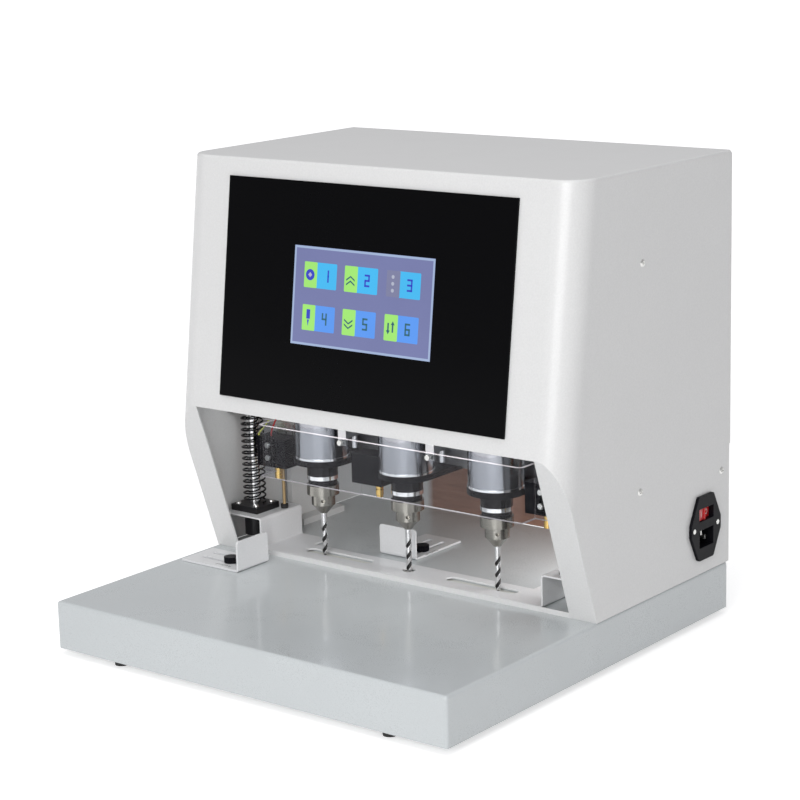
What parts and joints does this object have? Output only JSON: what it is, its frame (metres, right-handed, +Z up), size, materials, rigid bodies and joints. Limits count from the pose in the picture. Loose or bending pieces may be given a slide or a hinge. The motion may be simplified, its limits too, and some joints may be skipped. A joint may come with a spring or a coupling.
{
  "type": "paper drill",
  "caption": "Desk paper drill with motor-driven spindles on a powered head, a sprung press plate, a clear guard, a touch display in a sloping housing, and paper gauges on its flat table.",
  "frame": {"origin": "middle of the machine's outline on the surface that it stands on", "axes": "+X to the operator's right, +Y from the front to the back, +Z up"},
  "size_m": [0.4336, 0.432, 0.4238],
  "materials": {
    "base_paint": "satin pale grey-blue powder coat",
    "housing_paint": "white powder coat",
    "plate_paint": "light grey coat with bright edges",
    "panel_black": "matt black film",
    "screen_glass": "lit display behind a clear front",
    "black_plastic": "moulded black",
    "red_plastic": "moulded red",
    "circuit_board": "solder resist",
    "rubber": "matt",
    "mat_plastic": "natural white",
    "screw_steel": "zinc plated",
    "bright_steel": "ground and polished",
    "black_steel": "black oxide",
    "chuck_steel": "turned",
    "motor_steel": "plated can",
    "frame_aluminium": "milled",
    "black_aluminium": "black anodised",
    "supply_metal": "perforated case",
    "brass": "turned",
    "clear_plastic": "clear sheet"
  },
  "bodies": {
    "machine": {"base_pan": "base_paint", "base_bottom_plate": "base_paint", "rubber_feet": "rubber", "cutting_mat": "mat_plastic", "mat_channel": "frame_aluminium", "guide_rod_bolts": "screw_steel", "power_supply": "supply_metal", "housing_shell": "housing_paint", "rear_cover": "housing_paint", "rear_lower_panel": "housing_paint", "casing_screws": "screw_steel", "front_panel": "panel_black", "display_glass": "screen_glass", "display_module": "black_plastic", "control_board": "circuit_board", "power_inlet": "black_plastic", "inlet_pins": "brass", "inlet_screws": "screw_steel", "frame_sides": "frame_aluminium", "frame_top_plate": "frame_aluminium", "guide_rods": "bright_steel", "screw_bearing": "chuck_steel", "drive_belt": "rubber", "lift_motor": "black_steel"},
    "head": {"carriage": "frame_aluminium", "unit_rail": "frame_aluminium", "lift_nut": "brass", "carriage_bearings": "black_steel", "sensor_blocks": "black_plastic", "block_brackets": "screw_steel", "marker_lamps": "brass", "guard_fingers": "frame_aluminium", "guard": "clear_plastic", "guard_screws": "screw_steel", "middle_arm": "black_aluminium", "middle_motor": "motor_steel"},
    "left_unit": {"left_arm": "black_aluminium", "left_motor": "motor_steel"},
    "right_unit": {"right_arm": "black_aluminium", "right_motor": "motor_steel"},
    "left_spindle": {"left_chuck": "chuck_steel", "left_drill": "bright_steel"},
    "middle_spindle": {"middle_chuck": "chuck_steel", "middle_drill": "bright_steel"},
    "right_spindle": {"right_chuck": "chuck_steel", "right_drill": "bright_steel"},
    "press_plate": {"press_plate": "plate_paint", "plate_bearings": "black_steel", "bearing_screws": "screw_steel", "hanger_rods": "screw_steel", "hanger_feet": "rubber", "plate_springs": "black_steel"},
    "lift_screw": {"lift_screw": "bright_steel"},
    "lift_motor_shaft": {"motor_pulley": "chuck_steel"},
    "power_rocker": {"power_rocker": "red_plastic"},
    "side_gauge": {"side_gauge": "plate_paint"},
    "side_gauge_knob": {"side_gauge_knob": "black_plastic"},
    "rear_gauge": {"rear_gauge": "plate_paint"},
    "rear_gauge_knob": {"rear_gauge_knob": "black_plastic"}
  },
  "joints": [
    {"name": "head_lift", "type": "slide", "parent": "machine", "child": "head", "axis": [0, 0, 1], "range_m": [0, 0.06]},
    {"name": "plate_lift", "type": "slide", "parent": "machine", "child": "press_plate", "axis": [0, 0, 1], "range_m": [0, 0.052], "deforming": ["plate_springs"]},
    {"name": "left_unit_slide", "type": "slide", "parent": "head", "child": "left_unit", "axis": [1, 0, 0], "range_m": [-0.009, 0.009]},
    {"name": "right_unit_slide", "type": "slide", "parent": "head", "child": "right_unit", "axis": [1, 0, 0], "range_m": [-0.009, 0.009]},
    {"name": "left_spindle_turn", "type": "hinge", "parent": "left_unit", "child": "left_spindle", "pos_m": [-0.1067, 0.02395, 0.13], "axis": [0, 0, 1], "continuous": true},
    {"name": "middle_spindle_turn", "type": "hinge", "parent": "head", "child": "middle_spindle", "pos_m": [-0.0077, 0.02395, 0.13], "axis": [0, 0, 1], "continuous": true},
    {"name": "right_spindle_turn", "type": "hinge", "parent": "right_unit", "child": "right_spindle", "pos_m": [0.0913, 0.02395, 0.13], "axis": [0, 0, 1], "continuous": true},
    {"name": "lift_screw_turn", "type": "hinge", "parent": "machine", "child": "lift_screw", "pos_m": [-0.0077, 0.11895, 0.13], "axis": [0, 0, 1], "range_deg": [0, 5400]},
    {"name": "lift_motor_turn", "type": "hinge", "parent": "machine", "child": "lift_motor_shaft", "pos_m": [0.0703, 0.11895, 0.13], "axis": [0, 0, 1], "range_deg": [0, 5400]},
    {"name": "power_rocker_tilt", "type": "hinge", "parent": "machine", "child": "power_rocker", "pos_m": [0.2142, 0.16865, 0.1045], "axis": [0, 0, 1], "range_deg": [-18, 0]},
    {"name": "side_gauge_slide", "type": "slide", "parent": "machine", "child": "side_gauge", "axis": [1, 0, 0], "range_m": [-0.009, 0.018]},
    {"name": "rear_gauge_slide", "type": "slide", "parent": "machine", "child": "rear_gauge", "axis": [0, 1, 0], "range_m": [-0.01, 0.009]},
    {"name": "side_gauge_knob_turn", "type": "hinge", "parent": "machine", "child": "side_gauge_knob", "pos_m": [-0.1592, -0.04855, 0.055], "axis": [0, 0, 1], "range_deg": [0, 360]},
    {"name": "rear_gauge_knob_turn", "type": "hinge", "parent": "machine", "child": "rear_gauge_knob", "pos_m": [-0.0342, 0.07795, 0.055], "axis": [0, 0, 1], "range_deg": [0, 360]}
  ],
  "couplings": [
    {"joint": "plate_lift", "follows": "head_lift", "ratio": 0.86667},
    {"joint": "lift_screw_turn", "follows": "head_lift", "rad_per_m": 1570.8},
    {"joint": "lift_motor_turn", "follows": "head_lift", "rad_per_m": 1570.8}
  ]
}
